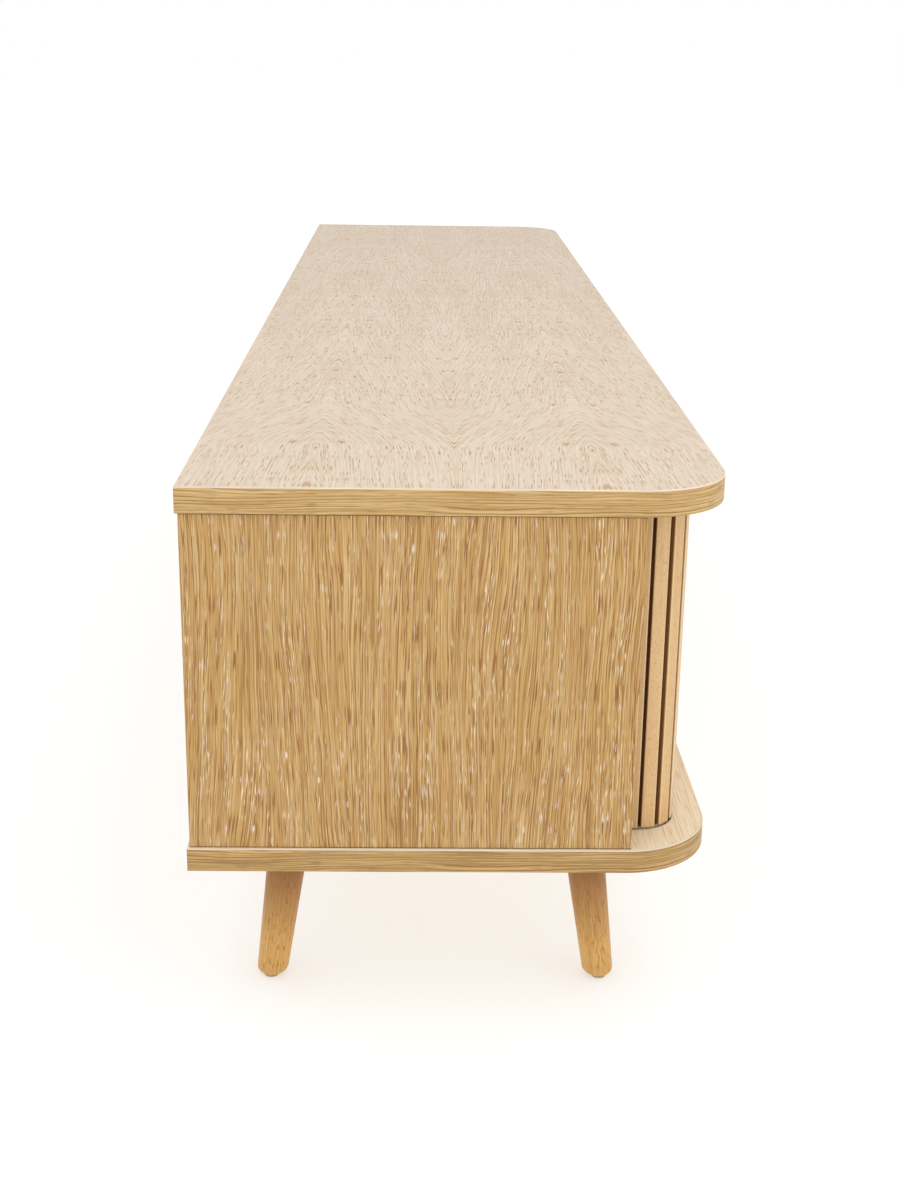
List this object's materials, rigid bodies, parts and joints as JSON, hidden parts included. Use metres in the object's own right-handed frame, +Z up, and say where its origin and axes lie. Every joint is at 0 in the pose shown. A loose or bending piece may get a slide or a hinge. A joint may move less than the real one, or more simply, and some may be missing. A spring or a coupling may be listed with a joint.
{
  "type": "media cabinet",
  "caption": "Long low media cabinet with rounded front corners, slatted tambour doors that slide inward over an open centre bay, shelves, cable holes and splayed turned legs.",
  "frame": {"origin": "on the floor, under the middle of the footprint", "axes": "+X along the length, to the right when facing the front; the front faces -Y; +Z up"},
  "size_m": [1.8, 0.4, 0.45],
  "materials": {
    "top_veneer": "matt lacquered oak veneer",
    "base_veneer": "matt lacquered oak veneer",
    "edge_oak": "matt lacquered oak edging",
    "side_veneer": "matt lacquered oak veneer",
    "inner_veneer": "matt lacquered oak veneer",
    "back_board": "oak-faced fibreboard",
    "slat_oak": "matt lacquered solid oak",
    "stile_oak": "matt lacquered solid oak",
    "leg_oak": "satin lacquered turned oak",
    "beech": "plain",
    "canvas": "woven cotton",
    "zinc_steel": "zinc plated",
    "grommet_plastic": "fine grained",
    "glide_plastic": "smooth",
    "stop_plastic": "smooth"
  },
  "bodies": {
    "cabinet": {"top_panel": "top_veneer", "top_edge_band": "edge_oak", "base_panel": "base_veneer", "base_edge_band": "edge_oak", "left_side_panel": "side_veneer", "left_divider": "inner_veneer", "right_side_panel": "side_veneer", "right_divider": "inner_veneer", "left_back_board": "back_board", "left_cable_grommet": "grommet_plastic", "left_shelf": "inner_veneer", "left_shelf_pins": "zinc_steel", "centre_back_board": "back_board", "centre_cable_grommet": "grommet_plastic", "centre_shelf": "inner_veneer", "centre_shelf_pins": "zinc_steel", "right_back_board": "back_board", "right_cable_grommet": "grommet_plastic", "right_shelf": "inner_veneer", "right_shelf_pins": "zinc_steel", "cam_locks": "zinc_steel", "cam_bolts": "zinc_steel", "dowels": "beech", "front_left_leg": "leg_oak", "front_right_leg": "leg_oak", "back_left_leg": "leg_oak", "back_right_leg": "leg_oak", "centre_leg": "leg_oak", "threaded_inserts": "zinc_steel", "hanger_bolts": "zinc_steel", "foot_glides": "glide_plastic", "centre_stops": "stop_plastic"},
    "left_door": {"left_door_slats": "slat_oak", "left_door_canvas": "canvas", "left_door_stile": "stile_oak"},
    "left_corner_1": {"left_corner_slat_1": "slat_oak", "left_corner_canvas_1": "canvas"},
    "left_corner_2": {"left_corner_slat_2": "slat_oak", "left_corner_canvas_2": "canvas"},
    "left_corner_3": {"left_corner_slat_3": "slat_oak", "left_corner_canvas_3": "canvas"},
    "left_tail": {"left_tail_slats": "slat_oak", "left_tail_canvas": "canvas"},
    "right_door": {"right_door_slats": "slat_oak", "right_door_canvas": "canvas", "right_door_stile": "stile_oak"},
    "right_corner_1": {"right_corner_slat_1": "slat_oak", "right_corner_canvas_1": "canvas"},
    "right_corner_2": {"right_corner_slat_2": "slat_oak", "right_corner_canvas_2": "canvas"},
    "right_corner_3": {"right_corner_slat_3": "slat_oak", "right_corner_canvas_3": "canvas"},
    "right_tail": {"right_tail_slats": "slat_oak", "right_tail_canvas": "canvas"}
  },
  "joints": [
    {"name": "left_door_slide", "type": "slide", "parent": "cabinet", "child": "left_door", "axis": [1, 0, 0], "range_m": [0, 0.4075]},
    {"name": "left_fold_1", "type": "hinge", "parent": "left_door", "child": "left_corner_1", "pos_m": [-0.83335, -0.1695, 0.3], "axis": [0, 0, 1], "range_deg": [0, 15]},
    {"name": "left_fold_2", "type": "hinge", "parent": "left_corner_1", "child": "left_corner_2", "pos_m": [-0.84543, -0.16626, 0.3], "axis": [0, 0, 1], "range_deg": [0, 30]},
    {"name": "left_fold_3", "type": "hinge", "parent": "left_corner_2", "child": "left_corner_3", "pos_m": [-0.85427, -0.15743, 0.3], "axis": [0, 0, 1], "range_deg": [0, 30]},
    {"name": "left_fold_4", "type": "hinge", "parent": "left_corner_3", "child": "left_tail", "pos_m": [-0.8575, -0.14535, 0.3], "axis": [0, 0, 1], "range_deg": [0, 15]},
    {"name": "right_door_slide", "type": "slide", "parent": "cabinet", "child": "right_door", "axis": [-1, 0, 0], "range_m": [0, 0.4075]},
    {"name": "right_fold_1", "type": "hinge", "parent": "right_door", "child": "right_corner_1", "pos_m": [0.83335, -0.1695, 0.3], "axis": [0, 0, -1], "range_deg": [0, 15]},
    {"name": "right_fold_2", "type": "hinge", "parent": "right_corner_1", "child": "right_corner_2", "pos_m": [0.84543, -0.16626, 0.3], "axis": [0, 0, -1], "range_deg": [0, 30]},
    {"name": "right_fold_3", "type": "hinge", "parent": "right_corner_2", "child": "right_corner_3", "pos_m": [0.85427, -0.15743, 0.3], "axis": [0, 0, -1], "range_deg": [0, 30]},
    {"name": "right_fold_4", "type": "hinge", "parent": "right_corner_3", "child": "right_tail", "pos_m": [0.8575, -0.14535, 0.3], "axis": [0, 0, -1], "range_deg": [0, 15]}
  ],
  "couplings": [
    {"joint": "left_fold_1", "follows": "left_door_slide", "rad_per_m": 0.6424},
    {"joint": "left_fold_2", "follows": "left_door_slide", "rad_per_m": 1.2849},
    {"joint": "left_fold_3", "follows": "left_door_slide", "rad_per_m": 1.2849},
    {"joint": "left_fold_4", "follows": "left_door_slide", "rad_per_m": 0.6424},
    {"joint": "right_fold_1", "follows": "right_door_slide", "rad_per_m": 0.6424},
    {"joint": "right_fold_2", "follows": "right_door_slide", "rad_per_m": 1.2849},
    {"joint": "right_fold_3", "follows": "right_door_slide", "rad_per_m": 1.2849},
    {"joint": "right_fold_4", "follows": "right_door_slide", "rad_per_m": 0.6424}
  ]
}
